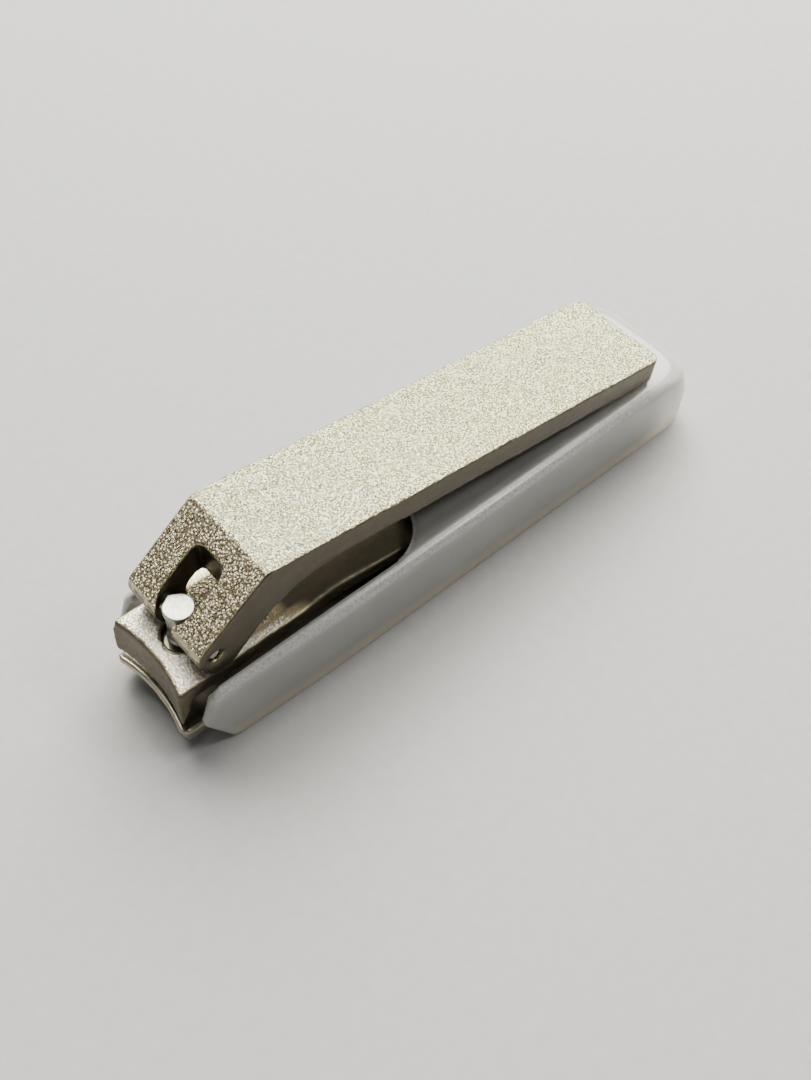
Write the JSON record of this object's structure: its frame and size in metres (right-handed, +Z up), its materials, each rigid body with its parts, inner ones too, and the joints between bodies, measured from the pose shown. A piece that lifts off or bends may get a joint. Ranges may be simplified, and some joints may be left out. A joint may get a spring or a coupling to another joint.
{
  "type": "compound-lever nail clipper",
  "caption": "Nail clipper with a folding cast lever on a swivelling post, concave cutting jaws and a translucent slide-on catcher case.",
  "frame": {"origin": "bottom centre of the bounding box, on the plane the case floor stands on", "axes": "+X from the tail towards the cutting edges, +Z up, Y across"},
  "size_m": [0.0682, 0.0148, 0.0188],
  "materials": {
    "nickel_cast": "pear-skin blasted warm nickel plating, satin on the sides",
    "nickel_steel": "fine blasted nickel plating, ground at the cutting edges",
    "bright_steel": "smooth bright plating",
    "frosted_plastic": "frosted translucent, milky"
  },
  "bodies": {
    "lower_frame": {"lower_jaw": "nickel_steel", "rear_rivet_1": "bright_steel", "rear_rivet_2": "bright_steel"},
    "upper_jaw": {"upper_jaw": "nickel_steel"},
    "catcher_case": {"catcher_case": "frosted_plastic"},
    "post": {"post": "bright_steel"},
    "lever": {"lever": "nickel_cast", "lever_pin": "bright_steel"}
  },
  "joints": [
    {"name": "jaw_squeeze", "type": "hinge", "parent": "lower_frame", "child": "upper_jaw", "pos_m": [-0.02037, 0, 0.00405], "axis": [0, 1, 0], "range_deg": [0, 1.05], "stiffness_Nm_per_rad": 12},
    {"name": "case_slide", "type": "slide", "parent": "lower_frame", "child": "catcher_case", "axis": [-1, 0, 0], "range_m": [0, 0.045]},
    {"name": "post_swivel", "type": "hinge", "parent": "lower_frame", "child": "post", "pos_m": [0.02973, 0, 0.0045], "axis": [0, 0, 1], "continuous": true},
    {"name": "lever_tilt", "type": "hinge", "parent": "post", "child": "lever", "pos_m": [0.02973, 0, 0.0119], "axis": [0, 1, 0], "range_deg": [0, 145]}
  ]
}
